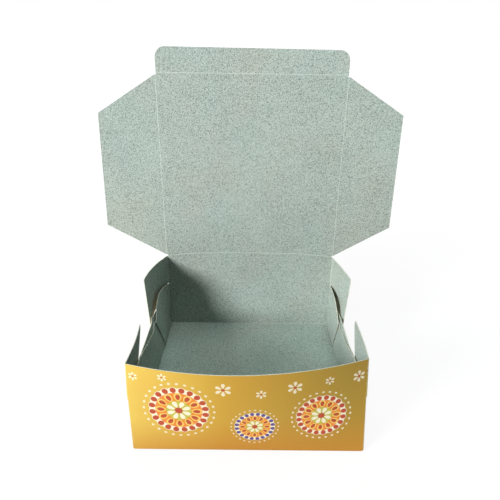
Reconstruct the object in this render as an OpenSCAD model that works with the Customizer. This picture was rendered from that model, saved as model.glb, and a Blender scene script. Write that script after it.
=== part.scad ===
// Sweet box of folding board, open: a tray with four slit corners and a hinged lid
// with two side flaps and a tuck flap. Every panel between two creases is a piece.
// Millimetres, +Z up, front towards -Y, origin at the middle of the floor's underside.

/* [Tray] */
// Width of the tray over its side walls
base_w = 150; // [130:1:200]
// Depth of the tray over the feet of its front and rear walls
base_d = 156; // [140:1:200]
// Height of the rim above the table
wall_h = 68; // [62:1:85]

/* [Board] */
// Thickness of the board
board_t = 0.5; // [0.35:0.05:0.7]
// Clearance between a crease and the panel edge beside it
crease_gap = 0.25; // [0.15:0.05:0.3]
// Clearance between panels that lie face to face
face_gap = 0.3; // [0.2:0.05:0.6]

/* [Front and rear walls] */
// How far the middle of the front wall's top edge bulges forward
front_bow = 13; // [0:1:16]
// How far the front wall's top corners lean in over the tray
front_lean_in = 3; // [0:0.5:4]
// Angle by which the rear wall leans back
rear_lean = 3; // [0:0.5:6]

/* [Side walls] */
// Height of the side walls
side_h = 44.5; // [38:0.5:50]
// Height at which a side wall's sloping ends start
side_end_h = 30; // [20:1:34]
// Length of a side wall's sloping end
side_end_run = 42; // [36:1:50]

/* [Corner slits] */
// Radius of the curved cut between an ear and its hook
slit_r = 100; // [80:5:140]
// Width of the cut
slit_w = 0.4; // [0.2:0.1:1]
// Height of the top of the cut at the front corners
front_slit_h = 45.5; // [43:0.5:50]
// Distance of that top from the front crease
front_slit_run = 30; // [20:1:36]
// Height of the top of the cut at the rear corners
rear_slit_h = 43; // [41:0.5:48]
// Distance of that top from the rear crease
rear_slit_run = 18; // [12:1:26]

/* [Ears] */
// Length of a front ear's top edge
front_ear_top = 46.5; // [35:0.5:55]
// Length of a front ear's lower edge
front_ear_foot = 38; // [30:0.5:45]
// Angle by which a front ear stands out
front_ear_splay = 1.5; // [1:0.5:4]
// Length of a rear ear's top edge
rear_ear_top = 45; // [35:0.5:50]
// Length of a rear ear's lower edge
rear_ear_foot = 56; // [50:0.5:58]
// How far a rear ear's upper corner stands out
rear_ear_flare = 10.5; // [6:0.5:16]
// How far a rear ear's lower corner stands out
rear_ear_tuck = 5.3; // [4:0.1:6]

/* [Hooks] */
// Reach of a rear hook's shoulder
rear_hook_shoulder = 57; // [54:0.5:60]
// Reach of a rear hook's toe on the floor
rear_hook_toe = 38; // [30:0.5:45]
// Angle by which a rear hook leans into the tray
rear_hook_lean = 1.3; // [1.1:0.1:2]
// Distance of the rear wall's edge from a hook's crease, so that the hook can swing in
rear_hook_clear = 1; // [1:0.1:1.6]
// Gap between the ends of a front and a rear hook
hook_gap = 1.5; // [1:0.1:3]
// Clearance of the hooks above the floor
hook_lift = 0.3; // [0.2:0.1:1]
// Distance from the front crease at which a front hook's curved edge turns straight
front_hook_bend = 60; // [50:1:70]

/* [Lid] */
// Length of the lid between its two creases
lid_l = 155; // [138:1:200]
// Clearance of the lid's side creases inside the ears
lid_side_gap = 0.2; // [0.1:0.05:0.5]

/* [Lid side flaps] */
// Width of a side flap
flap_w = 48.5; // [30:0.5:56]
// Length of the flap's slope at the hinge end
flap_rear_run = 29; // [20:1:40]
// Length of the flap's slope at the tuck end
flap_front_run = 26; // [20:1:40]
// Clearance of the flap's root from the lid's ends
flap_root_gap = 1.5; // [1:0.1:3]

/* [Tuck flap] */
// Depth of the tuck flap
tuck_d = 18; // [12:0.5:25]
// Radius of its outer corners
tuck_corner_r = 7.5; // [3:0.5:11]

/* [Hidden] */

board_grey = [0.66, 0.71, 0.67];
board_shade = [0.52, 0.57, 0.53];
print_gold = [0.87, 0.66, 0.24];

round_fn = 32;
bow_steps = 24;
ear_steps = 8;
arc_steps = 10;
// Reach of the outlines that cut the bent sheets, and the sheets' lap past their outlines
cut_reach = 40;
cut_lap = 2;
ear_lap = 8;

half_t = board_t / 2;
// How far a rounded crease stands proud of the board's faces
crease_bulge = 0.03;
crease_r = half_t + crease_bulge;
crease_edge = crease_r + crease_gap;
fold_y = base_d / 2 - crease_r;
side_x = base_w / 2 - crease_r;
hook_x = side_x - half_t - face_gap - crease_r;
ear_x = base_w / 2 - face_gap;
hook_foot_z = board_t + hook_lift;
front_lean = atan(front_lean_in / wall_h);
hinge_z = wall_h + face_gap + crease_r;
hinge_run = (hinge_z - crease_r) / cos(rear_lean);
hinge_y = fold_y + hinge_run * sin(rear_lean);
lid_half = ear_x - board_t - lid_side_gap;
tuck_half = hook_x - crease_r - face_gap;
tuck_z = hinge_z + lid_l;

// Corner creases, as the Y of a point at height z
function front_corner_y(z) = -fold_y + (z - crease_r) * tan(front_lean);
function rear_corner_y(z) = fold_y + (z - crease_r) * tan(rear_lean);

// Curved cuts, as the height at a distance q from the crease's foot
function slit_z(q, run, top) = top - slit_r + sqrt(slit_r * slit_r - (q - run) * (q - run));
function front_slit_z(q) = slit_z(q, front_slit_run, front_slit_h);
function rear_slit_z(q) = slit_z(q, rear_slit_run, rear_slit_h);
function front_slit(q0, q1, rise) = [
    for (i = [0:arc_steps]) let (q = q0 + (q1 - q0) * i / arc_steps)
        [q - fold_y, front_slit_z(q) + rise]
];
function rear_slit(q0, q1, rise) = [
    for (i = [0:arc_steps]) let (q = q0 + (q1 - q0) * i / arc_steps)
        [fold_y - q, rear_slit_z(q) + rise]
];

shoulder_z = rear_slit_z(rear_hook_shoulder) - slit_w / 2;
front_reach = 2 * fold_y - hook_gap;

// Board standing across the box, from an outline in X and Z
module board_across(points) {
    rotate([90, 0, 0])
        linear_extrude(board_t, center = true)
            polygon(points);
}

// Board standing along the box, from an outline in Y and Z
module board_along(points) {
    rotate([90, 0, 90])
        linear_extrude(board_t, center = true)
            polygon(points);
}

// Rounded edge of a panel on a level crease across the box
module crease_across(half) {
    rotate([0, 90, 0])
        cylinder(h = 2 * half, r = crease_r, center = true, $fn = round_fn);
}

// Rounded edge of a panel on a crease that rises from z0 to z1 at the angle lean
module crease_up(y0, z0, z1, lean) {
    translate([0, y0, z0])
        rotate([-lean, 0, 0])
            cylinder(h = (z1 - z0) / cos(lean), r = crease_r, $fn = round_fn);
}

// Turns its children about an upright crease through the point at foot
module turned(foot, lean, angle) {
    translate(foot)
        rotate(a = angle, v = [0, sin(lean), cos(lean)])
            translate(-foot)
                children();
}

// Closed sheet between two grids of points, nu by nv squares, face a outermost
module sheet(a, b, nu, nv) {
    row = nv + 1;
    count = (nu + 1) * row;
    squares = [for (i = [0:nu - 1]) for (j = [0:nv - 1]) i * row + j];
    polyhedron(
        points = concat(a, b),
        faces = concat(
            [for (k = squares) [k, k + 1, k + row + 1]],
            [for (k = squares) [k, k + row + 1, k + row]],
            [for (k = squares) [count + k, count + k + row + 1, count + k + 1]],
            [for (k = squares) [count + k, count + k + row, count + k + row + 1]],
            [for (i = [0:nu - 1]) let (k = i * row) [k, k + row, count + k + row, count + k]],
            [for (i = [0:nu - 1]) let (k = i * row + nv) [k + row, k, count + k, count + k + row]],
            [for (j = [0:nv - 1]) [j + 1, j, count + j, count + j + 1]],
            [for (j = [0:nv - 1]) let (k = nu * row + j) [k, k + 1, count + k + 1, count + k]]
        )
    );
}

// Outline of a wall: narrow between the hooks, which it clears by edge, wider between the ears
function wall_outline(root_z, top_z, edge) = let (
    low = hook_x - edge,
    high = ear_x - crease_edge
) [
    [-low, 0], [low, 0], [low, root_z], [high, root_z],
    [high, top_z], [-high, top_z], [-high, root_z], [-low, root_z]
];

module floor_panel() {
    color(board_shade)
        translate([0, 0, half_t])
            cube([
                base_w - 2 * (crease_r + crease_edge),
                base_d - 2 * (crease_r + crease_edge),
                board_t
            ], center = true);
}

// Middle of the bowed front wall at a place across it and a share of its height
function front_wall_y(x, share) =
    -fold_y + front_lean_in * share - front_bow * share * (1 - pow(2 * x / base_w, 2));

function front_wall_face(side) = [
    for (i = [0:bow_steps]) for (share = [0, 1]) let (x = base_w * (i / bow_steps - 0.5))
        [x, front_wall_y(x, share) + side * half_t, crease_r + share * (wall_h - crease_r)]
];

module front_wall() {
    color(print_gold) {
        intersection() {
            sheet(front_wall_face(-1), front_wall_face(1), bow_steps, 1);
            translate([0, -fold_y, crease_r])
                rotate([90, 0, 0])
                    linear_extrude(2 * cut_reach, center = true)
                        polygon(wall_outline(front_slit_z(0), wall_h - crease_r, crease_edge));
        }
        translate([0, -fold_y, crease_r]) crease_across(hook_x - crease_edge);
    }
}

module rear_wall() {
    color(board_shade)
        translate([0, fold_y, crease_r])
            rotate([-rear_lean, 0, 0]) {
                board_across(wall_outline(rear_slit_z(0), hinge_run - crease_edge, rear_hook_clear));
                crease_across(hook_x - crease_edge);
            }
}

module side_wall() {
    end_y = fold_y - crease_edge;
    top_y = base_d / 2 - side_end_run;
    translate([-side_x, 0, 0]) {
        board_along([
            [-end_y, crease_r], [-end_y, side_end_h], [-top_y, side_h],
            [top_y, side_h], [end_y, side_end_h], [end_y, crease_r]
        ]);
        translate([0, 0, crease_r]) rotate([0, 0, 90]) crease_across(end_y);
    }
}

module front_ear() {
    foot_z = front_slit_z(0) + slit_w / 2;
    translate([-ear_x, 0, 0])
        turned([0, -fold_y, crease_r], front_lean, front_ear_splay) {
            board_along(concat(
                [[front_corner_y(foot_z), foot_z]],
                front_slit(front_lean_in, front_ear_foot, slit_w / 2),
                [[front_corner_y(wall_h) + front_ear_top, wall_h], [front_corner_y(wall_h), wall_h]]
            ));
            crease_up(front_corner_y(foot_z), foot_z, wall_h, front_lean);
        }
}

module front_hook() {
    root_z = front_slit_z(0) - slit_w / 2;
    translate([-hook_x, 0, 0]) {
        board_along(concat(
            [[front_corner_y(hook_foot_z), hook_foot_z]],
            [[front_reach - rear_hook_toe - fold_y, hook_foot_z]],
            [[front_reach - rear_hook_shoulder - fold_y, shoulder_z]],
            front_slit(front_hook_bend, front_lean_in, -slit_w / 2),
            [[front_corner_y(root_z), root_z]]
        ));
        crease_up(front_corner_y(hook_foot_z), hook_foot_z, root_z, front_lean);
    }
}

// How far the rear ear stands out, at a distance from its crease and a height
function rear_ear_out(q, z) = let (
    low_z = rear_slit_z(rear_ear_foot),
    flare = rear_ear_tuck + (rear_ear_flare - rear_ear_tuck) * (z - low_z) / (wall_h - low_z)
) flare * (1 - pow(1 - q / rear_ear_top, 2));

function rear_ear_face(side) = let (
    reach = rear_ear_foot + ear_lap,
    low_z = rear_slit_z(rear_ear_foot) - cut_lap
) [
    for (i = [0:ear_steps]) for (j = [0:ear_steps / 2])
        let (q = reach * i / ear_steps, z = low_z + (wall_h - low_z) * 2 * j / ear_steps)
            [-ear_x - rear_ear_out(q, z) + side * half_t, rear_corner_y(z) - q, z]
];

module rear_ear() {
    foot_z = rear_slit_z(0) + slit_w / 2;
    top_y = rear_corner_y(wall_h);
    intersection() {
        sheet(rear_ear_face(-1), rear_ear_face(1), ear_steps, ear_steps / 2);
        rotate([90, 0, 90])
            linear_extrude(2 * base_w, center = true)
                polygon(concat(
                    [[rear_corner_y(foot_z) + cut_lap, foot_z]],
                    rear_slit(0, rear_ear_foot, slit_w / 2),
                    [[top_y - rear_ear_top, wall_h], [top_y + cut_lap, wall_h]]
                ));
    }
    translate([-ear_x, 0, 0])
        crease_up(rear_corner_y(foot_z), foot_z, wall_h, rear_lean);
}

module rear_hook() {
    root_z = rear_slit_z(0) - slit_w / 2;
    translate([-hook_x, 0, 0])
        turned([0, fold_y, crease_r], rear_lean, rear_hook_lean) {
            board_along(concat(
                [[rear_corner_y(hook_foot_z), hook_foot_z]],
                [[fold_y - rear_hook_toe, hook_foot_z + rear_hook_toe * tan(rear_lean)]],
                rear_slit(rear_hook_shoulder, 0, -slit_w / 2),
                [[rear_corner_y(root_z), root_z]]
            ));
            crease_up(rear_corner_y(hook_foot_z), hook_foot_z, root_z, rear_lean);
        }
}

module lid_panel() {
    half = lid_half - crease_edge;
    color(board_grey)
        translate([0, hinge_y, hinge_z]) {
            board_across([
                [-half, 0], [half, 0],
                [half, lid_l - crease_edge], [-half, lid_l - crease_edge]
            ]);
            crease_across(half);
        }
}

module lid_flap() {
    translate([-lid_half, hinge_y, hinge_z]) {
        board_across([
            [0, flap_root_gap], [0, lid_l - flap_root_gap],
            [-flap_w, lid_l - flap_front_run], [-flap_w, flap_rear_run]
        ]);
        crease_up(0, flap_root_gap, lid_l - flap_root_gap, 0);
    }
}

module tuck_flap() {
    color(board_grey)
        translate([0, hinge_y, tuck_z]) {
            rotate([90, 0, 0])
                linear_extrude(board_t, center = true) {
                    translate([-tuck_half, 0])
                        square([2 * tuck_half, tuck_d - tuck_corner_r]);
                    translate([tuck_corner_r - tuck_half, 0])
                        square([2 * (tuck_half - tuck_corner_r), tuck_d]);
                    for (side = [-1, 1])
                        translate([side * (tuck_half - tuck_corner_r), tuck_d - tuck_corner_r])
                            circle(tuck_corner_r, $fn = 2 * round_fn);
                }
            crease_across(tuck_half);
        }
}

module side_wall_left() { color(board_shade) side_wall(); }
module side_wall_right() { color(board_shade) mirror([1, 0, 0]) side_wall(); }
module front_ear_left() { color(board_shade) front_ear(); }
module front_ear_right() { color(board_grey) mirror([1, 0, 0]) front_ear(); }
module rear_ear_left() { color(board_shade) rear_ear(); }
module rear_ear_right() { color(board_grey) mirror([1, 0, 0]) rear_ear(); }
module front_hook_left() { color(board_shade) front_hook(); }
module front_hook_right() { color(board_grey) mirror([1, 0, 0]) front_hook(); }
module rear_hook_left() { color(board_shade) rear_hook(); }
module rear_hook_right() { color(board_grey) mirror([1, 0, 0]) rear_hook(); }
module lid_flap_left() { color(board_grey) lid_flap(); }
module lid_flap_right() { color(board_grey) mirror([1, 0, 0]) lid_flap(); }

floor_panel();
front_wall();
rear_wall();
side_wall_left();
side_wall_right();
front_ear_left();
front_ear_right();
rear_ear_left();
rear_ear_right();
front_hook_left();
front_hook_right();
rear_hook_left();
rear_hook_right();
lid_panel();
lid_flap_left();
lid_flap_right();
tuck_flap();
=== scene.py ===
"""Dresses an open sweet box of creased folding board: tray, slit corners, lid and flaps."""

import logging
from collections.abc import Callable, Mapping, Sequence
from dataclasses import dataclass, field
from enum import Enum
from math import atan, cos, pi, radians, sin, sqrt, tan

import bmesh
import bpy
from mathutils import Matrix, Vector


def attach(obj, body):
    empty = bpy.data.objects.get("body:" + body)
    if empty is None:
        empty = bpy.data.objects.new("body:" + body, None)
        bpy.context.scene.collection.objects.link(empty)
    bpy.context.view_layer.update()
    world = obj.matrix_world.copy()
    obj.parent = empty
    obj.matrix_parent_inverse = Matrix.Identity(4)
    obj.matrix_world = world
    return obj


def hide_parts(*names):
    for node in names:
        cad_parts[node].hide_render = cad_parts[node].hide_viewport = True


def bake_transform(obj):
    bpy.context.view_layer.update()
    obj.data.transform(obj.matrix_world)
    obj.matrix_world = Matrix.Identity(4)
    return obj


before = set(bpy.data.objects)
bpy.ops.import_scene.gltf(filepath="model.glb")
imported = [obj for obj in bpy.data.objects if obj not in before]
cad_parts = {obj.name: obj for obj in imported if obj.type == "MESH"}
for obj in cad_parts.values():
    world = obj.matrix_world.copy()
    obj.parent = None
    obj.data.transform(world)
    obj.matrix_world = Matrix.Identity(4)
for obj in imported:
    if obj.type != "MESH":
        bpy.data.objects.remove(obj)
log = logging.getLogger("sweet_box")

MM = 0.001
Point = Callable[[float, float], Vector]


class Side(Enum):
    """The two sides of the box, as the sign of X."""

    LEFT = -1
    RIGHT = 1

    @property
    def word(self) -> str:
        """The side's name in node and body names."""
        return self.name.lower()


class Across(Enum):
    """The axis along which a print runs."""

    X = "X"
    Y = "Y"


class Wire:
    """One value in a material's node tree, with arithmetic."""

    def __init__(self, tree: bpy.types.NodeTree, socket: bpy.types.NodeSocket) -> None:
        """Keeps the socket and the tree it belongs to."""
        self.tree = tree
        self.socket = socket

    def math(self, operation: str, *others: "Wire | float", clamp: bool = False) -> "Wire":
        """Adds a Math node fed by this value and others.

        Args:
            operation: The Math node's operation.
            others: Further inputs, values or numbers.
            clamp: Whether the result is kept between 0 and 1.

        Returns:
            The node's result.
        """
        return Wire.chain(self.tree, operation, (self, *others), clamp)

    @staticmethod
    def chain(
        tree: bpy.types.NodeTree, operation: str, terms: "Sequence[Wire | float]", clamp: bool
    ) -> "Wire":
        """Adds a Math node with the given terms and returns its result."""
        node = tree.nodes.new("ShaderNodeMath")
        node.operation = operation
        node.use_clamp = clamp
        for socket, term in zip(node.inputs, terms):
            if isinstance(term, Wire):
                tree.links.new(term.socket, socket)
            else:
                socket.default_value = term
        return Wire(tree, node.outputs[0])

    def __add__(self, other: "Wire | float") -> "Wire":
        """Sum."""
        return self.math("ADD", other)

    __radd__ = __add__

    def __sub__(self, other: "Wire | float") -> "Wire":
        """Difference."""
        return self.math("SUBTRACT", other)

    def __rsub__(self, other: float) -> "Wire":
        """Difference from a number."""
        return Wire.chain(self.tree, "SUBTRACT", (other, self), False)

    def __mul__(self, other: "Wire | float") -> "Wire":
        """Product."""
        return self.math("MULTIPLY", other)

    __rmul__ = __mul__

    def __truediv__(self, other: "Wire | float") -> "Wire":
        """Quotient."""
        return self.math("DIVIDE", other)

    def __neg__(self) -> "Wire":
        """Negative."""
        return self.math("MULTIPLY", -1.0)

    def __abs__(self) -> "Wire":
        """Size without sign."""
        return self.math("ABSOLUTE")

    def below(self, limit: "Wire | float", soft: float) -> "Wire":
        """1 where this is under the limit, 0 above it, over a soft step."""
        return ((limit - self) / soft + 0.5).math("ADD", 0.0, clamp=True)

    def above(self, limit: "Wire | float", soft: float) -> "Wire":
        """1 where this is over the limit, 0 under it, over a soft step."""
        return ((self - limit) / soft + 0.5).math("ADD", 0.0, clamp=True)


Colour = tuple[float, float, float]


class Paint:
    """Builds one material's node tree."""

    def __init__(self, name: str, slot_name: str) -> None:
        """Starts an empty material with a Principled shader.

        Args:
            name: The material's name.
            slot_name: A material slot's name; it is kept but not used.
        """
        self.material = bpy.data.materials.new(name)
        self.material.use_nodes = True
        self.slot_name = slot_name
        self.tree = self.material.node_tree
        self.tree.nodes.clear()
        self.shader = self.tree.nodes.new("ShaderNodeBsdfPrincipled")
        output = self.tree.nodes.new("ShaderNodeOutputMaterial")
        self.tree.links.new(self.shader.outputs["BSDF"], output.inputs["Surface"])
        self.place = self.node("ShaderNodeAttribute", {"attribute_name": "rest"}, {}).outputs["Vector"]

    def node(self, kind: str, settings: Mapping[str, object], inputs: Mapping[str, object]) -> bpy.types.Node:
        """Adds a node.

        Args:
            kind: The node's type.
            settings: Its properties, set first.
            inputs: Values or links for its sockets, by name or number.

        Returns:
            The node.
        """
        node = self.tree.nodes.new(kind)
        for key, value in settings.items():
            setattr(node, key, value)
        for key, value in inputs.items():
            if isinstance(value, Wire):
                value = value.socket
            if isinstance(value, bpy.types.NodeSocket):
                self.tree.links.new(value, node.inputs[key])
            else:
                node.inputs[key].default_value = value
        return node

    def wire(self, socket: bpy.types.NodeSocket) -> Wire:
        """Wraps a socket for arithmetic."""
        return Wire(self.tree, socket)

    def axes(self) -> tuple[Wire, Wire, Wire]:
        """The point's X, Y and Z in metres."""
        split = self.node("ShaderNodeSeparateXYZ", {}, {"Vector": self.place})
        return tuple(self.wire(split.outputs[i]) for i in range(3))

    def noise(self, scale: float, detail: float = 2.0, stretch: Colour = (1, 1, 1),
              turn: Colour = (0, 0, 0), rough: float = 0.5) -> Wire:
        """A noise value from 0 to 1.

        Args:
            scale: Its scale, per metre.
            detail: How many finer layers it has.
            stretch: Factors on the axes.
            turn: Angles that turn the pattern, in radians.
            rough: How strong the finer layers are.

        Returns:
            The noise.
        """
        place = self.node("ShaderNodeMapping", {"vector_type": "TEXTURE"},
                          {"Vector": self.place, "Rotation": turn, "Scale": tuple(1 / k for k in stretch)})
        made = self.node(
            "ShaderNodeTexNoise", {},
            {"Vector": place.outputs[0], "Scale": scale, "Detail": detail, "Roughness": rough},
        )
        return self.wire(made.outputs[0])

    def mix(self, share: "Wire | float", a: object, b: object) -> bpy.types.NodeSocket:
        """Mixes two colours.

        Args:
            share: How much of the second colour shows.
            a: The first colour, as a socket or linear values.
            b: The second colour.

        Returns:
            The mixed colour's socket.
        """
        def full(c: object) -> object:
            """A colour with its alpha, or the socket as it is."""
            return (*c, 1.0) if isinstance(c, tuple) else c

        made = self.node("ShaderNodeMix", {"data_type": "RGBA"}, {0: share, 6: full(a), 7: full(b)})
        return made.outputs[2]

    def finish(self, colour: object, roughness: "Wire | float", relief: Wire, depth: float,
               specular: float) -> bpy.types.Material:
        """Links the finish to the shader.

        Args:
            colour: The base colour.
            roughness: The roughness.
            relief: The height that the bump reads.
            depth: The bump's distance in metres.
            specular: The specular level.

        Returns:
            The material.
        """
        self.tree.links.new(colour, self.shader.inputs["Base Color"])
        if isinstance(roughness, Wire):
            self.tree.links.new(roughness.socket, self.shader.inputs["Roughness"])
        else:
            self.shader.inputs["Roughness"].default_value = roughness
        self.shader.inputs["Specular IOR Level"].default_value = specular
        bump = self.node("ShaderNodeBump", {}, {"Height": relief, "Strength": 1.0, "Distance": depth})
        self.tree.links.new(bump.outputs[0], self.shader.inputs["Normal"])
        return self.material

    def fold(self) -> Wire:
        """How near a point lies to the crease, from the piece's own attribute."""
        return self.wire(self.node("ShaderNodeAttribute", {"attribute_name": "fold"}, {}).outputs["Fac"])


def linear(red: int, green: int, blue: int) -> Colour:
    """A screen colour from 0 to 255 as linear values."""
    return tuple((c / 12.92 if c <= 0.04045 else ((c + 0.055) / 1.055) ** 2.4)
                 for c in (red / 255, green / 255, blue / 255))


@dataclass(frozen=True)
class GreyBack:
    """The uncoated grey back of the board: recycled pulp with dark and pale fibres."""

    pulp: Colour = linear(183, 195, 186)
    cool: Colour = linear(178, 194, 189)
    warm: Colour = linear(185, 186, 176)
    dark: Colour = linear(112, 124, 116)
    fibre: Colour = linear(66, 68, 60)
    pale: Colour = linear(206, 216, 207)
    hinge_y: float = 0.0795
    hinge_z: float = 0.0686
    hinge_half: float = 0.0745
    hinge_arch: float = 0.0034

    def material(self) -> bpy.types.Material:
        """Makes the material."""
        p = Paint("grey back", "grey_board")
        cloud = p.noise(30, 2)
        streak = p.noise(1000, 2, (1, 1, 1.6), (0.5, 0.75, 0.4), rough=0.6)
        grain = p.noise(1500, 3, turn=(0.7, 0.5, 0.9), rough=0.7)
        pulp = p.mix(p.noise(17, 2).above(0.52, 0.3) * 0.7, self.pulp, self.cool)
        pulp = p.mix(p.noise(24, 3, turn=(1.0, 0.4, 0.2)).above(0.55, 0.24) * 0.6, pulp, self.warm)
        shade = 0.36 + (cloud - 0.5) * 0.35 + (streak - 0.5) * 3.1 + (grain - 0.5) * 3.2
        body = p.mix(shade.math("ADD", 0.0, clamp=True), pulp, self.dark)
        body = p.mix(grain.above(0.6, 0.14) * streak.below(0.5, 0.2) * 0.6, body, self.pale)
        for turn, seed in ((0.5, 1.0), (-0.7, 1.37)):
            hair = p.noise(780 * seed, 2, (1, 1, 0.4), (0.6 * seed, turn, 0.5))
            body = p.mix(hair.above(0.735, 0.05) * 0.4, body, self.fibre)
        speck = p.noise(850, 1, turn=(0.9, 0.3, 0.6))
        body = p.mix(speck.above(0.735, 0.04) * 0.8, body, self.fibre)
        fold = self.creases(p)
        # Pale crease lines: partly worn pulp, partly a painted highlight of the raised creases.
        body = p.mix(fold * (0.5 + (grain - 0.5) * 1.5), body, self.pale)
        relief = streak * 0.6 + grain * 0.4 + fold * 1.2
        return p.finish(body, 0.9, relief, 0.00009, 0.25)

    def creases(self, p: Paint) -> Wire:
        """The pale crease lines, partly worn pulp and partly a painted highlight; the lid's painted line arches up
        between its corners in place of its straight hinge's.
        """
        x, y, z = p.axes()
        behind = y.above(self.hinge_y, 0.0005)
        arch = self.hinge_z + self.hinge_arch * (1.0 - abs(x / self.hinge_half).math("POWER", 3.0))
        line = abs(z - arch).below(0.00035, 0.0003) * behind
        straight = abs(z - self.hinge_z).below(0.0014, 0.0002) * behind
        return p.fold() * (1.0 - straight) + line


@dataclass(frozen=True)
class CutEdge:
    """The bare cut edge of the board, a thin pale line."""

    pulp: Colour = linear(226, 226, 210)
    grey: Colour = linear(178, 180, 164)
    crease_end_shade: Colour = linear(74, 70, 60)

    def material(self) -> bpy.types.Material:
        """Makes the material."""
        p = Paint("cut edge", "grey_board")
        grain = p.noise(2600, 3)
        body = p.mix(grain.above(0.55, 0.3) * 0.5, self.pulp, self.grey)
        # Painted shade: the cut edge darkens at the crease ends, where the slits' ends lie in shade.
        body = p.mix(p.fold() * 0.9, body, self.crease_end_shade)
        return p.finish(body, 0.95, grain, 0.00004, 0.2)


@dataclass(frozen=True)
class FestivePrint:
    """The coated outside: a golden ground with rosettes and small flowers."""

    across: Across
    low: float
    name: str
    repeat: float = 0.069
    flowers: tuple[tuple[float, ...], ...] = (
        (-0.0185, -0.0430, 0.0365, 0.0195, 0.0), (0.0235, 0.0045, 0.0235, 0.0132, 1.0), (1.0, 0.0465, 0.0310, 0.0165, 0.0))
    small: tuple[tuple[float, ...], ...] = (
        (-0.066, -0.0705, 0.0600, 0.0030), (-0.035, -0.0520, 0.0625, 0.0030), (-0.002, -0.0150, 0.0560, 0.0052),
        (0.020, 0.0080, 0.0520, 0.0034), (0.036, 0.0285, 0.0560, 0.0048), (0.062, 0.0500, 0.0580, 0.0030),
        (1.0, 0.0690, 0.0575, 0.0040))
    glow: Colour = linear(220, 190, 84)
    gold: Colour = linear(194, 150, 46)
    ochre: Colour = linear(166, 134, 40)
    amber: Colour = linear(188, 120, 36)
    butter: Colour = linear(232, 196, 96)
    cream: Colour = linear(232, 224, 196)
    brick: Colour = linear(178, 70, 40)
    marigold: Colour = linear(222, 128, 44)
    indigo: Colour = linear(92, 74, 134)
    leaf: Colour = linear(186, 176, 64)

    def material(self) -> bpy.types.Material:
        """Makes the material."""
        p = Paint(self.name, "printed_board")
        x, y, z = p.axes()
        run = x if self.across is Across.X else y
        rise = (z - self.low).math("FLOORED_MODULO", self.repeat)
        body = self.ground(p, run, z.math("PINGPONG", self.repeat))
        body = self.sprigs(p, body, run, rise)
        body = self.rosettes(p, body, run, rise)
        fine = p.noise(900, 2)
        crease_mark = p.fold() * p.noise(700, 3).above(0.45, 0.3)
        body = p.mix(crease_mark * 0.4, body, self.cream)
        return p.finish(body, 0.38 + (fine - 0.5) * 0.14, fine + p.fold(), 0.00002, 0.4)

    def ground(self, p: Paint, run: Wire, level: Wire) -> object:
        """The ground colour: a pale glow on one side, gold beyond it, deeper where the level is low."""
        share = (run + 0.075).math("DIVIDE", 0.15, clamp=True)
        body = p.mix(share.math("DIVIDE", 0.4, clamp=True), self.glow, self.gold)
        body = p.mix((share - 0.4).math("DIVIDE", 0.5, clamp=True), body, self.ochre)
        body = p.mix((p.noise(22, 2) - 0.45).math("MULTIPLY", 0.7, clamp=True), body, self.amber)
        return p.mix(level.below(0.012, 0.034) * 0.75, body, self.amber)

    def choose(self, run: Wire, spots: Sequence[tuple[float, ...]], column: int) -> Wire:
        """One number of the spot whose stretch of the run a point lies in.

        Args:
            run: The place along the print.
            spots: Rows of a stretch's end, then the spot's own numbers.
            column: Which number to give.

        Returns:
            That number.
        """
        value = (run * 0.0) + spots[0][column]
        for before, spot in zip(spots, spots[1:]):
            value = value + run.above(before[0], 0.00001) * (spot[column] - before[column])
        return value

    def round_spot(self, run: Wire, rise: Wire, spots: Sequence[tuple[float, ...]]) -> tuple[Wire, Wire]:
        """Radius, as a share of the spot's own, and angle in turns, about the spot's middle."""
        u = run - self.choose(run, spots, 1)
        w = rise - self.choose(run, spots, 2)
        r = (u * u + w * w).math("SQRT") / self.choose(run, spots, 3)
        return r, w.math("ARCTAN2", u) / (2 * pi)

    def spoke(self, turn: Wire, count: int, shift: float = 0.0) -> Wire:
        """How far an angle lies from the nearest of a ring's spokes: 0 on it, 1 between two."""
        return abs((turn * count + shift).math("FLOORED_MODULO", 1.0) - 0.5) * 2.0

    def petals(self, r: Wire, off: Wire, inner: float, outer: float, width: float) -> Wire:
        """Mask of a ring of oval petals between two radii."""
        t = (r - (inner + outer) / 2) / ((outer - inner) / 2)
        w = off / width
        return (t * t + w * w).below(1.0, 0.22)

    def rosettes(self, p: Paint, body: object, run: Wire, rise: Wire) -> object:
        """Round flowers of petal rings, each on a plain disc with a ring of dots round it."""
        r, turn = self.round_spot(run, rise, self.flowers)
        rim = self.choose(run, self.flowers, 4)
        warm = p.mix(rim, self.brick, self.indigo)
        body = p.mix(self.petals(r, self.spoke(turn, 28, 0.5), 1.10, 1.18, 0.42) * 0.8, body, self.cream)
        body = p.mix(r.below(1.0 - 0.05 * self.spoke(turn, 20), 0.03), body, self.cream)
        body = p.mix(self.petals(r, self.spoke(turn, 20), 0.76, 0.98, 0.72), body, warm)
        body = p.mix(r.below(0.76, 0.03), body, self.marigold)
        body = p.mix(self.petals(r, self.spoke(turn, 12, 0.5), 0.42, 0.75, 0.8), body, self.butter)
        body = p.mix(self.petals(r, self.spoke(turn, 12, 0.5), 0.46, 0.7, 0.5), body, self.brick)
        body = p.mix(r.below(0.42, 0.03), body, self.leaf)
        body = p.mix(self.petals(r, self.spoke(turn, 8), 0.12, 0.4, 0.7), body, self.cream)
        return p.mix(r.below(0.13, 0.04), body, self.brick)

    def sprigs(self, p: Paint, body: object, run: Wire, rise: Wire) -> object:
        """Small pale flowers of six petals between the rosettes."""
        r, turn = self.round_spot(run, rise, self.small)
        body = p.mix(self.petals(r, self.spoke(turn, 6), 0.2, 1.0, 0.62) * 0.85, body, self.cream)
        return p.mix(r.below(0.2, 0.08), body, self.brick)


@dataclass(frozen=True)
class Finishes:
    """All the finishes, made once."""

    back: bpy.types.Material
    edge: bpy.types.Material
    walls: bpy.types.Material
    sides: bpy.types.Material
    lid: bpy.types.Material


def lerp(a: float, b: float, share: float) -> float:
    """The value at a share of the way from a to b."""
    return a + (b - a) * share


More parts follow.
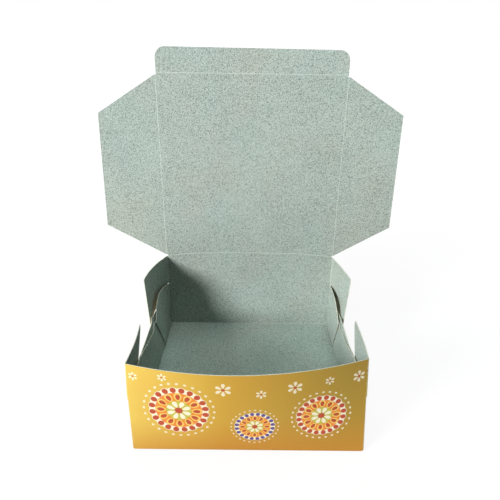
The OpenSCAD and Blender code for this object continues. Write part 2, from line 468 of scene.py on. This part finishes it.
@dataclass
class Leaf:
    """One panel of the sheet with the crease it hangs on, as a bent sheet of board.

    The panel's grid runs away from the crease in u and along it in v. The first rows wrap
    round the crease from the neighbour's edge.
    """

    name: str
    node: str
    body: str
    surface: Point
    outward: Vector
    inks: bpy.types.Material
    finishes: Finishes
    rows: int = 24
    columns: int = 24
    thickness: float = 0.5
    crease: Callable[[float], tuple[Vector, Vector]] | None = None
    crease_rows: int = 5
    blend_with: str = ""
    blend_ends: tuple[Vector, Vector] | None = None

    def build(self) -> bpy.types.Object:
        """Makes the piece, puts it on its body's empty or bakes its place, and hides the CAD part it stands for.

        Returns:
            The finished object.
        """
        work = bmesh.new()
        bmesh.ops.create_grid(work, x_segments=self.rows, y_segments=self.columns, size=0.5)
        # Marks the middle crease rows: the cut edge's painted shade, the grey back's pale lines with their painted
        # highlight, and the print's wear are drawn from it.
        crease_mark = work.verts.layers.float.new("fold")
        lead = self.crease_rows if self.crease else 0
        for vert in work.verts:
            step = round((vert.co.x + 0.5) * self.rows)
            v = vert.co.y + 0.5
            if step < lead:
                start, corner = self.crease(v)
                end = self.surface(0.0, v)
                t = step / lead
                vert.co = start * (1 - t) ** 2 + corner * 2 * t * (1 - t) + end * t * t
                vert[crease_mark] = 1.0 if 2 * step in (lead - 1, lead + 1) else 0.0
            else:
                vert.co = self.surface((step - lead) / (self.rows - lead), v)
            vert.co *= MM
        bmesh.ops.recalc_face_normals(work, faces=work.faces)
        lean = sum((face.normal * face.calc_area() for face in work.faces), Vector())
        if lean.dot(self.outward) < 0:
            bmesh.ops.reverse_faces(work, faces=work.faces)
        mesh = bpy.data.meshes.new(self.name)
        work.to_mesh(mesh)
        work.free()
        for material in (self.inks, self.finishes.back, self.finishes.edge):
            mesh.materials.append(material)
        mesh.shade_smooth()
        piece = bpy.data.objects.new(self.name, mesh)
        bpy.context.scene.collection.objects.link(piece)
        self.thicken(piece)
        if self.blend_with and self.blend_ends:
            self.blend_ends[0] * MM
            self.blend_ends[1] * MM
            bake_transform(piece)
        else:
            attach(piece, self.body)
        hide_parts(self.node)
        "printed_board" if self.node == "front_wall" else "grey_board"
        log.info("%s: %d faces on %s", self.name, len(piece.data.polygons), self.body)
        return piece

    def thicken(self, piece: bpy.types.Object) -> None:
        """Gives the sheet the board's thickness, and its points the places that its print follows."""
        board = piece.modifiers.new("board", "SOLIDIFY")
        board.thickness = self.thickness * MM
        board.offset = 0.0
        board.use_even_offset = True
        board.material_offset = 1
        board.material_offset_rim = 2
        bpy.context.view_layer.update()
        ready = piece.evaluated_get(bpy.context.evaluated_depsgraph_get())
        done = bpy.data.meshes.new_from_object(ready)
        piece.modifiers.clear()
        piece.data = done
        done.name = self.name
        rest = done.attributes.new("rest", "FLOAT_VECTOR", "POINT")
        for vert, mark in zip(done.vertices, rest.data):
            mark.vector = vert.co
        for face in done.polygons:
            face.use_smooth = face.material_index != 2
        done.set_sharp_from_angle(angle=radians(40))


@dataclass(frozen=True)
class Sizes:
    """The box's sizes in millimetres, as in the part's source."""

    width: float = 150.0
    depth: float = 156.0
    height: float = 68.0
    board: float = 0.5
    crease: float = 0.28
    face_gap: float = 0.3
    front_bow: float = 14.1
    rear_lean: float = radians(3.0)
    slit_r: float = 100.0
    fillet: float = 0.8
    front_in: Mapping[Side, float] = field(default_factory=lambda: {Side.LEFT: 0.8, Side.RIGHT: 8.5})
    side_bulge: Mapping[Side, Sequence[tuple[float, float]]] = field(default_factory=lambda: {
        Side.LEFT: ((-78.0, 0.3), (-60.0, 1.3), (4.0, 1.3), (22.0, 5.2), (40.0, 6.2), (56.0, 6.4), (68.0, 4.4),
                    (78.0, 0.8)),
        Side.RIGHT: ((-78.0, 0.0), (-40.0, -0.2), (-18.0, -1.4), (10.0, -1.3), (26.0, 0.9), (46.0, 1.0),
                     (64.0, 0.5), (78.0, 0.0))})

    @property
    def fold_y(self) -> float:
        """Distance of the front and rear creases from the middle."""
        return self.depth / 2 - self.crease

    @property
    def side_x(self) -> float:
        """Distance of the side walls' creases from the middle."""
        return self.width / 2 - self.crease

    @property
    def hook_x(self) -> float:
        """Distance of the hooks from the middle."""
        return self.side_x - self.board / 2 - self.face_gap - self.crease

    @property
    def ear_x(self) -> float:
        """Distance of the ears' creases from the middle."""
        return self.width / 2 - self.face_gap

    @property
    def hinge_z(self) -> float:
        """Height of the lid's hinge crease."""
        return self.height + self.face_gap + self.crease

    def rear_y(self, z: float) -> float:
        """Place of the rear wall at height z."""
        return self.fold_y + (z - self.crease) * tan(self.rear_lean)

    def front_corner_y(self, side: Side, z: float) -> float:
        """Place of a front corner at height z."""
        return -self.fold_y + self.front_in[side] * (z - self.crease) / self.height

    def spread(self, side: Side, z: float) -> float:
        """How far the front wall's edge stands out sideways at height z, more at its foot."""
        if side is Side.RIGHT:
            return 2.1 * max(0.0, 1 - z / self.height)
        return 0.9 * min(1.0, max(0.0, self.height - z) / 22.0)

    def front_slit(self, q: float) -> float:
        """Height of the front cut at a distance q from the crease."""
        return 45.5 - self.slit_r + sqrt(self.slit_r ** 2 - (q - 30.0) ** 2)

    def rear_slit(self, q: float) -> float:
        """Height of the rear cut at a distance q from the crease."""
        return 43.0 - self.slit_r + sqrt(self.slit_r ** 2 - (q - 18.0) ** 2)

    def side_out(self, side: Side, y: float, z: float) -> float:
        """How far a side wall and its hooks stand out at a place and height.

        Args:
            side: The side of the box.
            y: The place along the side.
            z: The height.

        Returns:
            The distance, 0 at the floor.
        """
        knots = self.side_bulge[side]
        out = knots[0][1]
        for (y0, a), (y1, b) in zip(knots, knots[1:]):
            if y >= y0:
                t = min(1.0, (y - y0) / (y1 - y0))
                out = lerp(a, b, t * t * (3 - 2 * t))
        return out * (z / 44.5) ** 1.5

    def side_top(self, y: float) -> float:
        """Height of a side wall's upper edge at a place along the side."""
        knots = ((-76.4, 42.6), (-36.0, 44.5), (8.0, 44.5), (16.0, 42.4), (26.0, 38.6), (40.0, 36.0),
                 (78.0, 30.0))
        for (y0, a), (y1, b) in zip(knots, knots[1:]):
            if y <= y1:
                return lerp(a, b, max(0.0, (y - y0) / (y1 - y0)))
        return knots[-1][1]

    def front_wall(self, x: float, z: float) -> Vector:
        """A point of the bowed front wall."""
        share = z / self.height
        bow = self.front_bow * share * (1 - (2 * x / self.width) ** 2)
        lean = lerp(self.front_in[Side.LEFT], self.front_in[Side.RIGHT], 0.5 + x / self.width)
        side = Side.RIGHT if x > 0 else Side.LEFT
        wide = 1 + self.spread(side, z) * (2 * x / self.width) ** 2 / self.ear_x
        return Vector((x * wide, -self.fold_y + lean * share - bow, z))

    def rear_wall(self, x: float, z: float) -> Vector:
        """A point of the rear wall."""
        return Vector((x, self.rear_y(z), z))


@dataclass
class Tray:
    """The tray: floor, walls, ears and hooks."""

    sizes: Sizes
    finishes: Finishes
    ear_flare: Mapping[Side, tuple[float, float]] = field(
        default_factory=lambda: {Side.LEFT: (6.0, 11.2), Side.RIGHT: (2.0, 8.8)})
    ear_gap: Mapping[Side, float] = field(default_factory=lambda: {Side.LEFT: 2.2, Side.RIGHT: 1.2})
    ear_run: Mapping[Side, float] = field(default_factory=lambda: {Side.LEFT: 48.0, Side.RIGHT: 43.5})
    ear_curl: Mapping[Side, float] = field(default_factory=lambda: {Side.LEFT: 4.5, Side.RIGHT: 3.5})
    ear_curl_top: Mapping[Side, float] = field(default_factory=lambda: {Side.LEFT: 2.0, Side.RIGHT: 1.35})
    spike_out: Mapping[Side, float] = field(default_factory=lambda: {Side.LEFT: 0.3, Side.RIGHT: 0.3})
    spike_run: Mapping[Side, float] = field(default_factory=lambda: {Side.LEFT: 46.0, Side.RIGHT: 46.2})
    spike_curl: Mapping[Side, float] = field(default_factory=lambda: {Side.LEFT: 1.2, Side.RIGHT: -0.3})

    def build(self) -> None:
        """Makes the tray's panels."""
        self.floor()
        self.front()
        self.rear()
        for side in Side:
            self.side_wall(side)
            self.front_ear(side)
            self.front_hook(side)
            self.rear_ear(side)
            self.rear_hook(side)

    def floor(self) -> None:
        """The floor panel, as far as the creases round it."""
        s = self.sizes
        half_x, half_y = s.side_x - s.fillet, s.fold_y - s.fillet

        def surface(u: float, v: float) -> Vector:
            """A point of the floor."""
            return Vector((lerp(-half_x, half_x, v), lerp(-half_y, half_y, u), s.board / 2))

        Leaf("board_floor", "floor_panel", "floor", surface, Vector((0, 0, -1)), self.finishes.walls,
             self.finishes, rows=40, columns=40).build()

    def front(self) -> None:
        """The bowed front wall with its crease on the floor."""
        s = self.sizes
        half = s.ear_x - s.fillet
        foot = s.board / 2 + s.fillet

        def surface(u: float, v: float) -> Vector:
            """A point of the wall."""
            return s.front_wall(lerp(-half, half, v), lerp(foot, s.height, u))

        def crease(v: float) -> tuple[Vector, Vector]:
            """Start and corner of the crease."""
            x = lerp(-half, half, v)
            return Vector((x, -s.fold_y + s.fillet, s.board / 2)), Vector((x, -s.fold_y, s.board / 2))

        Leaf("board_front_wall", "front_wall", "front_wall", surface, Vector((0, -1, 0)),
             self.finishes.walls, self.finishes, rows=40, columns=72, crease=crease,
             blend_with="floor",
             blend_ends=(Vector((0, -s.fold_y + s.fillet, s.board / 2)), Vector((0, -s.fold_y, foot)))).build()

    def rear(self) -> None:
        """The rear wall with its crease on the floor."""
        s = self.sizes
        half = s.ear_x - s.fillet
        foot = s.board / 2 + s.fillet
        top = s.hinge_z - s.fillet

        def surface(u: float, v: float) -> Vector:
            """A point of the wall."""
            return s.rear_wall(lerp(-half, half, v), lerp(foot, top, u))

        def crease(v: float) -> tuple[Vector, Vector]:
            """Start and corner of the crease."""
            x = lerp(-half, half, v)
            return Vector((x, s.fold_y - s.fillet, s.board / 2)), Vector((x, s.fold_y, s.board / 2))

        Leaf("board_rear_wall", "rear_wall", "rear_wall", surface, Vector((0, 1, 0)),
             self.finishes.walls, self.finishes, rows=40, columns=72, crease=crease,
             blend_with="floor",
             blend_ends=(Vector((0, s.fold_y - s.fillet, s.board / 2)), Vector((0, s.fold_y, foot)))).build()

    def side_wall(self, side: Side) -> None:
        """A side wall, low at its sloping ends."""
        s = self.sizes
        k = side.value
        end, knee = s.fold_y - 1.6, s.depth / 2 - 42
        foot = s.board / 2 + s.fillet

        def along(v: float) -> float:
            """Place along the wall, with a row of points at each knee."""
            if v < 0.25:
                return lerp(-end, -knee, v / 0.25)
            return lerp(-knee, knee, (v - 0.25) / 0.5) if v < 0.75 else lerp(knee, end, (v - 0.75) / 0.25)

        def surface(u: float, v: float) -> Vector:
            """A point of the wall."""
            y = along(v)
            z = lerp(foot, s.side_top(y), u)
            y += max(0.0, s.front_corner_y(side, z) + 1.6 + end) * max(0.0, 1 - v / 0.25)
            return Vector((k * (s.side_x + s.side_out(side, y, z - foot)), y, z))

        def crease(v: float) -> tuple[Vector, Vector]:
            """Start and corner of the crease."""
            y = along(v)
            return (Vector((k * (s.side_x - s.fillet), y, s.board / 2)),
                    Vector((k * s.side_x, y, s.board / 2)))

        body = f"side_wall_{side.word}"
        Leaf(f"board_{body}", body, body, surface, Vector((k, 0, 0)), self.finishes.sides,
             self.finishes, rows=28, columns=64, crease=crease, blend_with="floor",
             blend_ends=(Vector((k * (s.side_x - s.fillet), 0, s.board / 2)),
                         Vector((k * s.side_x, 0, foot)))).build()

    def corner(self, side: Side, wall: Callable[[float, float], Vector], way: int) -> tuple[Vector, Vector]:
        """Where a panel on an upright crease starts and ends its bend.

        Args:
            side: The side of the box.
            wall: The wall that the crease runs along.
            way: 1 at the front, whose panels run back, and -1 at the rear.

        Returns:
            The bend's start on the wall and its end on the panel.
        """
        s = self.sizes
        x = side.value * (s.ear_x - s.fillet)
        start = wall(x, s.crease)
        run = wall(x, s.height) - start
        level = -(side.value * run.x + way * run.y) / run.z
        return start, start + s.fillet * Vector((side.value, way, level))

    def front_ear(self, side: Side) -> None:
        """A front ear, the spike beside the front wall."""
        s = self.sizes
        k = side.value

        def ear(q: float, z: float) -> Vector:
            """A point of the ear at a distance q from its crease."""
            y = s.front_corner_y(side, z) + q
            foot_out = s.side_out(side, y, 44.5) + 1.3
            out = lerp(foot_out, self.spike_out[side], max(0.0, (z - 42.0) / 26.0))
            curl = self.spike_curl[side] * sin(pi * min(1.0, q / 44.0)) * max(0.0, (z - 42.0) / 26.0)
            near = max(0.0, 1 - q / 20.0)
            return Vector((k * (s.ear_x + s.spread(side, z) * near + out * min(1.0, q / 14.0) - curl), y, z))

        def surface(u: float, v: float) -> Vector:
            """A point of the ear."""
            q_low = lerp(s.fillet, 38.0, u)
            low = s.front_slit(q_low) - 7.0 * min(1.0, max(0.0, q_low - 3.0) / 8.0)
            tip = self.spike_run[side] - 2.2 * max(0.0, (v - 0.85) / 0.15) ** 2
            return ear(lerp(q_low, lerp(s.fillet, tip, u), v), lerp(low, s.height, v))

        def crease(v: float) -> tuple[Vector, Vector]:
            """Start and corner of the crease."""
            z = lerp(s.front_slit(0) + 0.2, s.height, v)
            return s.front_wall(k * (s.ear_x - s.fillet), z), ear(0, z)

        body = f"front_ear_{side.word}"
        Leaf(f"board_{body}", body, body, surface, Vector((k, 0, 0)), self.finishes.sides, self.finishes,
             rows=26, columns=14, crease=crease, blend_with="front_wall",
             blend_ends=self.corner(side, s.front_wall, 1)).build()

    def front_hook(self, side: Side) -> None:
        """A front hook, the long panel inside the side wall."""
        s = self.sizes
        k = side.value
        shoulder_z = s.rear_slit(57.0) - 1.2
        lap = 5.0
        shoulder, toe = 2 * s.fold_y - 57.0 + lap, 2 * s.fold_y - 38.0 + lap

        def top(q: float) -> float:
            """Height of the upper edge at a distance q from the crease."""
            if q < 60.0:
                return s.front_slit(q) - 0.2
            return lerp(s.front_slit(60.0) - 0.2, shoulder_z, (q - 60.0) / (shoulder - 60.0))

        def hook(q: float, z: float) -> Vector:
            """A point of the hook at a distance q from its crease."""
            y = s.front_corner_y(side, z) + q
            return Vector((k * (s.hook_x + s.side_out(side, y, z)), y, z))

        def surface(u: float, v: float) -> Vector:
            """A point of the hook."""
            q_top = lerp(2.4, shoulder, u)
            return hook(lerp(lerp(2.4, toe, u), q_top, v), lerp(0.8, top(q_top), v))

        def crease(v: float) -> tuple[Vector, Vector]:
            """Start and corner of the crease."""
            z = lerp(0.8, top(0), v)
            corner = hook(0, z)
            corner.x = k * (s.ear_x + s.spread(side, z))
            return s.front_wall(k * (s.ear_x - s.fillet), z), corner

        body = f"front_hook_{side.word}"
        Leaf(f"board_{body}", body, body, surface, Vector((k, 0, 0)), self.finishes.sides, self.finishes,
             rows=48, columns=20, crease=crease, blend_with="front_wall",
             blend_ends=self.corner(side, s.front_wall, 1)).build()

    def rear_ear(self, side: Side) -> None:
        """A rear ear, which stands out in a curl."""
        s = self.sizes
        k = side.value
        low_z = s.rear_slit(56.0)

        def ear(q: float, z: float) -> Vector:
            """A point of the ear at a distance q from its crease."""
            rise = (z - low_z) / (s.height - low_z)
            power = lerp(self.ear_curl[side], self.ear_curl_top[side], max(0.0, rise))
            out = lerp(*self.ear_flare[side], rise) * (1 - abs(1 - q / 48.0) ** power)
            out += self.ear_gap[side] * sin(pi * min(1.0, q / 50.0)) * (1 - min(1.0, max(0.0, rise)))
            return Vector((k * (s.ear_x + out), s.rear_y(z) - q, z))

        def surface(u: float, v: float) -> Vector:
            """A point of the ear."""
            q_low = lerp(s.fillet, 60.0, u)
            low = min(s.rear_slit(q_low) - 1.5, s.side_top(s.fold_y - q_low) - 4.0)
            low = lerp(s.rear_slit(q_low), low, min(1.0, (q_low - s.fillet) / 6.0))
            return ear(lerp(q_low, lerp(s.fillet, self.ear_run[side], u), v), lerp(low, s.height, v))

        def crease(v: float) -> tuple[Vector, Vector]:
            """Start and corner of the crease."""
            z = lerp(s.rear_slit(0) + 0.2, s.height, v)
            return s.rear_wall(k * (s.ear_x - s.fillet), z), ear(0, z)

        body = f"rear_ear_{side.word}"
        Leaf(f"board_{body}", body, body, surface, Vector((k, 0, 0)), self.finishes.sides, self.finishes,
             rows=32, columns=18, crease=crease, blend_with="rear_wall",
             blend_ends=self.corner(side, s.rear_wall, -1)).build()

    def rear_hook(self, side: Side) -> None:
        """A rear hook, which leans into the tray."""
        s = self.sizes
        k = side.value
        lean = radians(1.3)

        def hook(q: float, z: float) -> Vector:
            """A point of the hook at a distance q from its crease."""
            y = s.rear_y(z) - q
            return Vector((k * (s.hook_x - q * sin(lean) + s.side_out(side, y, z)), y, z))

        def surface(u: float, v: float) -> Vector:
            """A point of the hook."""
            q_top = lerp(2.4, 57.0, u)
            q_low = lerp(2.4, 38.0, u)
            low = 0.8 + q_low * tan(s.rear_lean)
            return hook(lerp(q_low, q_top, v), lerp(low, s.rear_slit(q_top) - 0.2, v))

        def crease(v: float) -> tuple[Vector, Vector]:
            """Start and corner of the crease."""
            z = lerp(0.8, s.rear_slit(0) - 0.2, v)
            corner = hook(0, z)
            corner.x = k * s.ear_x
            return s.rear_wall(k * (s.ear_x - s.fillet), z), corner

        body = f"rear_hook_{side.word}"
        Leaf(f"board_{body}", body, body, surface, Vector((k, 0, 0)), self.finishes.sides, self.finishes,
             rows=32, columns=20, crease=crease, blend_with="rear_wall",
             blend_ends=self.corner(side, s.rear_wall, -1)).build()


@dataclass
class Lid:
    """The lid, its side flaps and its tuck flap."""

    sizes: Sizes
    finishes: Finishes
    length: float = 155.0
    half: float = 74.5
    splay: float = 0.8
    aside: float = 0.6
    tuck_half: float = 74.1
    tuck_depth: float = 18.0
    tuck_r: float = 7.5
    skew: float = 0.35
    tuck_back: float = radians(2.4)
    flap_width: Mapping[Side, tuple[float, float]] = field(
        default_factory=lambda: {Side.LEFT: (50.3, 47.9), Side.RIGHT: (47.2, 46.1)})
    flap_drop: Mapping[Side, float] = field(default_factory=lambda: {Side.LEFT: 30.9, Side.RIGHT: 30.1})

    def build(self) -> None:
        """Makes the lid's panels."""
        self.panel()
        self.tuck()
        for side in Side:
            self.flap(side)

    def point(self, x: float, rise: float) -> Vector:
        """A point of the lid at a height above its hinge, a little wider and skewed at its top."""
        s = self.sizes
        high = rise / self.length
        across = x / self.half
        return Vector((x + high * (self.splay * across + self.aside), s.rear_y(s.hinge_z),
                       s.hinge_z + rise + self.skew * (0.5 - across) * high))

    def panel(self) -> None:
        """The lid panel with the hinge crease."""
        s = self.sizes
        half = self.half - s.fillet

        def surface(u: float, v: float) -> Vector:
            """A point of the lid."""
            return self.point(lerp(-half, half, v), lerp(s.fillet, self.length - s.fillet, u))

        def crease(v: float) -> tuple[Vector, Vector]:
            """Start and corner of the crease."""
            x = lerp(-half, half, v)
            return s.rear_wall(x, s.hinge_z - s.fillet), self.point(x, 0)

        root = self.point(0, 0)
        reach = Vector((0, 0, s.fillet))
        Leaf("board_lid", "lid_panel", "lid", surface, Vector((0, 1, 0)), self.finishes.lid, self.finishes,
             rows=64, columns=72, crease=crease, blend_with="rear_wall",
             blend_ends=(root - reach, root + reach)).build()

    def tuck(self) -> None:
        """The tuck flap along the lid's free edge."""
        s = self.sizes
        straight = self.tuck_depth - self.tuck_r

        def surface(u: float, v: float) -> Vector:
            """A point of the flap."""
            if u < 0.5:
                rise, half = lerp(s.fillet, straight, u / 0.5), self.tuck_half
            else:
                angle = (u - 0.5) / 0.5 * pi / 2
                rise = straight + self.tuck_r * sin(angle)
                half = self.tuck_half - self.tuck_r + self.tuck_r * cos(angle)
            x = lerp(-half, half, v)
            root = self.point(x, self.length)
            rise *= 1.02 - 0.025 * x / self.half
            return root + rise * Vector((0, sin(self.tuck_back), cos(self.tuck_back)))

        def crease(v: float) -> tuple[Vector, Vector]:
            """Start and corner of the crease."""
            x = lerp(-self.tuck_half, self.tuck_half, v)
            return self.point(x, self.length - s.fillet), self.point(x, self.length)

        root = self.point(0, self.length)
        Leaf("board_tuck_flap", "tuck_flap", "tuck_flap", surface, Vector((0, 1, 0)), self.finishes.lid,
             self.finishes, rows=30, columns=72, crease=crease, blend_with="lid",
             blend_ends=(root - Vector((0, 0, s.fillet)), root + Vector((0, 0, s.fillet)))).build()

    def flap(self, side: Side) -> None:
        """A side flap in the lid's plane."""
        s = self.sizes
        k = side.value
        gap = 1.5

        def flap_point(q: float, rise: float) -> Vector:
            """A point of the flap at a distance q from its crease."""
            return self.point(k * self.half, rise) + Vector((k * q, 0, 0))

        def surface(u: float, v: float) -> Vector:
            """A point of the flap."""
            q = lerp(s.fillet, lerp(*self.flap_width[side], v), u)
            return flap_point(q, lerp(lerp(gap, 29.0, u), self.length - lerp(gap, self.flap_drop[side], u), v))

        def crease(v: float) -> tuple[Vector, Vector]:
            """Start and corner of the crease."""
            rise = lerp(gap, self.length - gap, v)
            return self.point(k * (self.half - s.fillet), rise), self.point(k * self.half, rise)

        body = f"lid_flap_{side.word}"
        root = self.point(k * self.half, self.length / 2)
        reach = Vector((k * s.fillet, 0, 0))
        Leaf(f"board_{body}", body, body, surface, Vector((0, 1, 0)), self.finishes.lid, self.finishes,
             rows=34, columns=44, crease=crease, blend_with="lid", blend_ends=(root - reach, root + reach)).build()


@dataclass(frozen=True)
class Studio:
    """Camera, lamps, floor and background."""

    lens: float = 35.23
    eye: tuple[float, float, float] = (0.0006, -0.3206, 0.2505)
    pitch: float = radians(23.62)
    yaw: float = radians(-0.06)
    roll: float = radians(0.57)

    def build(self) -> None:
        """Makes the studio."""
        self.camera()
        self.lamps()
        self.floor()
        self.world()
        bpy.context.scene.view_settings.view_transform = "Standard"

    def camera(self) -> None:
        """The camera at the photograph's place."""
        forward = Vector((sin(self.yaw) * cos(self.pitch), cos(self.yaw) * cos(self.pitch), -sin(self.pitch)))
        right = Vector((cos(self.yaw), -sin(self.yaw), 0))
        up = right.cross(forward)
        r2 = cos(self.roll) * right + sin(self.roll) * up
        u2 = cos(self.roll) * up - sin(self.roll) * right
        data = bpy.data.cameras.new("view")
        data.sensor_width = 36.0
        data.lens = self.lens
        data.clip_start = 0.01
        camera = bpy.data.objects.new("view", data)
        turn = Matrix((r2, u2, -forward)).transposed().to_4x4()
        camera.matrix_world = Matrix.Translation(self.eye) @ turn
        bpy.context.scene.collection.objects.link(camera)
        bpy.context.scene.camera = camera

    def lamp(self, name: str, way: Vector, distance: float, size: float, power: float,
             tint: Colour = (1, 1, 1)) -> None:
        """Adds an area lamp that shines along a direction on the box.

        Args:
            name: The lamp's name.
            way: The direction in which its light travels.
            distance: Its distance from the box.
            size: Its width.
            power: Its power in watts.
            tint: Its colour.
        """
        data = bpy.data.lights.new(name, "AREA")
        data.shape = "DISK"
        data.size = size
        data.energy = power
        data.color = tint
        lamp = bpy.data.objects.new(name, data)
        way = way.normalized()
        lamp.location = Vector((0, 0, 0.06)) - way * distance
        lamp.rotation_euler = way.to_track_quat("-Z", "Y").to_euler()
        bpy.context.scene.collection.objects.link(lamp)

    def lamps(self) -> None:
        """The key lamp at the front left, a weak fill above and one behind for the outside."""
        low = radians(20)
        self.lamp("key", Vector((0.757 * cos(low), 0.654 * cos(low), -sin(low))), 6.0, 2.0, 490.0)
        self.lamp("top", Vector((0.0, 0.03, -1.0)), 3.2, 1.8, 38.0, (0.85, 1.0, 0.98))
        self.lamp("back", Vector((0.12, -1.0, -0.3)), 3.0, 1.4, 50.0)

    def floor(self) -> None:
        """A plain pale floor that shows white and keeps the box's shadow."""
        work = bmesh.new()
        bmesh.ops.create_grid(work, x_segments=2, y_segments=2, size=20.0)
        bmesh.ops.translate(work, verts=work.verts, vec=(0, 0, -0.0002))
        mesh = bpy.data.meshes.new("floor")
        work.to_mesh(mesh)
        work.free()
        floor = bpy.data.objects.new("floor", mesh)
        bpy.context.scene.collection.objects.link(floor)
        material = bpy.data.materials.new("white floor")
        material.use_nodes = True
        tree = material.node_tree
        tree.nodes.clear()
        paint = tree.nodes.new("ShaderNodeBsdfDiffuse")
        paint.inputs["Color"].default_value = (0.8, 0.8, 0.8, 1)
        glow = tree.nodes.new("ShaderNodeEmission")
        glow.inputs["Strength"].default_value = 1.05
        place = tree.nodes.new("ShaderNodeTexCoord")
        away = tree.nodes.new("ShaderNodeVectorMath")
        away.operation = "LENGTH"
        tree.links.new(place.outputs["Object"], away.inputs[0])
        fade = tree.nodes.new("ShaderNodeMapRange")
        for key, value in (("From Min", 0.2), ("From Max", 0.8), ("To Min", 0.86), ("To Max", 1.0)):
            fade.inputs[key].default_value = value
        tree.links.new(away.outputs["Value"], fade.inputs["Value"])
        path = tree.nodes.new("ShaderNodeLightPath")
        share = tree.nodes.new("ShaderNodeMath")
        share.operation = "MULTIPLY"
        tree.links.new(fade.outputs["Result"], share.inputs[1])
        mix = tree.nodes.new("ShaderNodeMixShader")
        output = tree.nodes.new("ShaderNodeOutputMaterial")
        tree.links.new(path.outputs["Is Camera Ray"], share.inputs[0])
        tree.links.new(share.outputs[0], mix.inputs[0])
        tree.links.new(paint.outputs[0], mix.inputs[1])
        tree.links.new(glow.outputs[0], mix.inputs[2])
        tree.links.new(mix.outputs[0], output.inputs[0])
        mesh.materials.append(material)

    def world(self) -> None:
        """A world that lights softly and shows white to the camera."""
        world = bpy.data.worlds.new("studio")
        bpy.context.scene.world = world
        world.use_nodes = True
        tree = world.node_tree
        tree.nodes.clear()
        soft = tree.nodes.new("ShaderNodeBackground")
        soft.inputs["Strength"].default_value = 0.04
        white = tree.nodes.new("ShaderNodeBackground")
        white.inputs["Color"].default_value = (1, 1, 1, 1)
        soft.inputs["Color"].default_value = (1, 0.93, 0.85, 1)
        path = tree.nodes.new("ShaderNodeLightPath")
        mix = tree.nodes.new("ShaderNodeMixShader")
        output = tree.nodes.new("ShaderNodeOutputWorld")
        tree.links.new(path.outputs["Is Camera Ray"], mix.inputs[0])
        tree.links.new(soft.outputs[0], mix.inputs[1])
        tree.links.new(white.outputs[0], mix.inputs[2])
        tree.links.new(mix.outputs[0], output.inputs[0])


def main() -> None:
    """Builds the studio, the finishes, the tray and the lid."""
    logging.basicConfig(level=logging.INFO, format="%(message)s")
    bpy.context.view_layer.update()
    Studio().build()
    finishes = Finishes(
        back=GreyBack().material(),
        edge=CutEdge().material(),
        walls=FestivePrint(Across.X, 0.0, "print on the walls").material(),
        sides=FestivePrint(Across.Y, 0.0, "print on the sides").material(),
        lid=FestivePrint(Across.X, 0.069, "print on the lid").material(),
    )
    sizes = Sizes()
    Tray(sizes, finishes).build()
    Lid(sizes, finishes).build()


if __name__ == "__main__":
    main()
